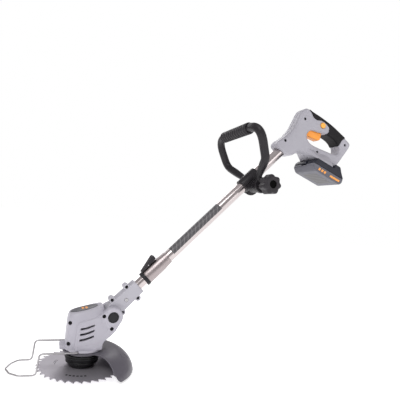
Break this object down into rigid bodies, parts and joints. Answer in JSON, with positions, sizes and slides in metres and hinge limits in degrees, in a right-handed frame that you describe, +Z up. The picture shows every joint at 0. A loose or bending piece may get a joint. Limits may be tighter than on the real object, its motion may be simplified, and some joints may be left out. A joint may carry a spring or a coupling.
{
  "type": "cordless lawn edger",
  "caption": "Battery lawn edger: a toothed disc blade under a tilting motor head, on a telescopic tube with a rear loop handle and a side handle.",
  "frame": {"origin": "centre of the blade bolt's lower face, on the spindle's axis", "axes": "+X towards the rear handle, +Y to the user's right, +Z up along the spindle, away from the ground"},
  "size_m": [0.6672, 0.1965, 0.556],
  "materials": {
    "grey_plastic": "satin moulded grey plastic",
    "light_grey_plastic": "satin moulded light grey plastic",
    "dark_grey_plastic": "satin dark grey plastic",
    "black_plastic": "satin black plastic",
    "black_rubber": "soft black over-moulding",
    "orange_plastic": "satin orange plastic",
    "chrome_tube": "plated tube",
    "steel": "turned steel",
    "blade_steel": "ground blade steel",
    "dark_steel": "blackened steel",
    "plated_wire": "zinc plated wire",
    "battery_plastic": "satin blue-black plastic",
    "battery_grey": "matt blue-grey plastic",
    "cell_wrap": "shrink wrapped cells",
    "brass": "plain brass"
  },
  "bodies": {
    "handle": {"handle_shell_left": "grey_plastic", "handle_shell_right": "grey_plastic", "grip_overmould": "black_rubber", "handle_screw_1": "dark_steel", "handle_screw_2": "dark_steel", "handle_screw_3": "dark_steel", "handle_screw_4": "dark_steel", "handle_screw_5": "dark_steel", "trigger_pin": "steel", "trigger_switch": "black_plastic", "terminal_block": "black_plastic", "outer_tube": "chrome_tube", "tube_collar": "chrome_tube", "collar_bush": "black_plastic"},
    "trigger": {"trigger": "orange_plastic"},
    "lock_off": {"lock_off_button": "orange_plastic"},
    "battery": {"battery_case_top": "battery_plastic", "battery_case_bottom": "battery_grey", "battery_cells": "cell_wrap"},
    "latch": {"battery_latch": "black_plastic"},
    "clamp": {"clamp_upper": "black_plastic", "clamp_lower": "black_plastic", "clamp_bolt": "steel"},
    "side_loop": {"side_handle": "black_plastic", "side_grip_sleeve": "black_rubber"},
    "knob": {"clamp_knob": "black_plastic", "knob_cap": "black_plastic"},
    "rocker": {"lock_rocker": "black_plastic", "lock_pad": "brass", "rocker_pin": "steel"},
    "lower_shaft": {"inner_tube": "chrome_tube", "arm_bracket_left": "light_grey_plastic", "arm_bracket_right": "light_grey_plastic", "bracket_screw_1": "dark_steel", "bracket_screw_2": "dark_steel", "bracket_screw_3": "dark_steel", "bracket_screw_4": "dark_steel", "tube_screw": "steel"},
    "head": {"motor_housing_left": "grey_plastic", "motor_housing_right": "grey_plastic", "housing_screw_1": "dark_steel", "housing_screw_2": "dark_steel", "housing_screw_3": "dark_steel", "housing_screw_4": "dark_steel", "top_badge": "dark_grey_plastic", "pivot_axle": "steel", "pivot_cap": "black_plastic", "motor_can": "steel", "motor_end_cap": "black_plastic", "shaft_bearing": "steel", "guard": "dark_grey_plastic", "neck_ring": "light_grey_plastic"},
    "pivot_release": {"pivot_button": "black_plastic"},
    "spindle": {"motor_shaft": "steel", "motor_rotor": "dark_steel", "blade_holder": "black_plastic", "saw_blade": "blade_steel", "blade_washer": "steel", "blade_bolt": "dark_steel"},
    "wire": {"wire_guard": "plated_wire"}
  },
  "joints": [
    {"name": "trigger_squeeze", "type": "hinge", "parent": "handle", "child": "trigger", "pos_m": [0.429, 0, 0.514], "axis": [0, -1, 0], "range_deg": [0, 8], "stiffness_Nm_per_rad": 0.5, "springref_deg": -11.46},
    {"name": "lock_off_press", "type": "slide", "parent": "handle", "child": "lock_off", "axis": [0, 1, 0], "range_m": [0, 0.003], "stiffness_N_per_m": 300, "springref_m": -0.003},
    {"name": "battery_slide", "type": "slide", "parent": "handle", "child": "battery", "axis": [0.9511, 0, -0.309], "range_m": [0, 0.085]},
    {"name": "latch_press", "type": "slide", "parent": "battery", "child": "latch", "axis": [-0.309, 0, -0.9511], "range_m": [0, 0.0018], "stiffness_N_per_m": 500, "springref_m": -0.003},
    {"name": "clamp_slide", "type": "slide", "parent": "handle", "child": "clamp", "axis": [0.6807, 0, 0.7325], "range_m": [-0.06, 0.04]},
    {"name": "side_handle_tilt", "type": "hinge", "parent": "clamp", "child": "side_loop", "pos_m": [0.31317, 0, 0.36823], "axis": [0, 1, 0], "range_deg": [-30, 30]},
    {"name": "knob_turn", "type": "hinge", "parent": "clamp", "child": "knob", "pos_m": [0.31317, 0, 0.36823], "axis": [0, 1, 0], "continuous": true},
    {"name": "rocker_press", "type": "hinge", "parent": "handle", "child": "rocker", "pos_m": [0.09927, 0, 0.18887], "axis": [0, 1, 0], "range_deg": [0, 6], "stiffness_Nm_per_rad": 0.4, "springref_deg": -11.46},
    {"name": "tube_extend", "type": "slide", "parent": "handle", "child": "lower_shaft", "axis": [-0.6807, 0, -0.7325], "range_m": [0, 0.25]},
    {"name": "head_tilt", "type": "hinge", "parent": "lower_shaft", "child": "head", "pos_m": [0.0422, 0, 0.0972], "axis": [0, 1, 0], "range_deg": [-30, 15]},
    {"name": "pivot_press", "type": "slide", "parent": "head", "child": "pivot_release", "axis": [0, 1, 0], "range_m": [0, 0.0018], "stiffness_N_per_m": 500, "springref_m": -0.002},
    {"name": "blade_spin", "type": "hinge", "parent": "head", "child": "spindle", "pos_m": [0, 0, 0], "axis": [0, 0, 1], "continuous": true},
    {"name": "wire_guard_fold", "type": "hinge", "parent": "head", "child": "wire", "pos_m": [-0.012, 0, 0.0402], "axis": [0, 1, 0], "range_deg": [0, 95]}
  ]
}
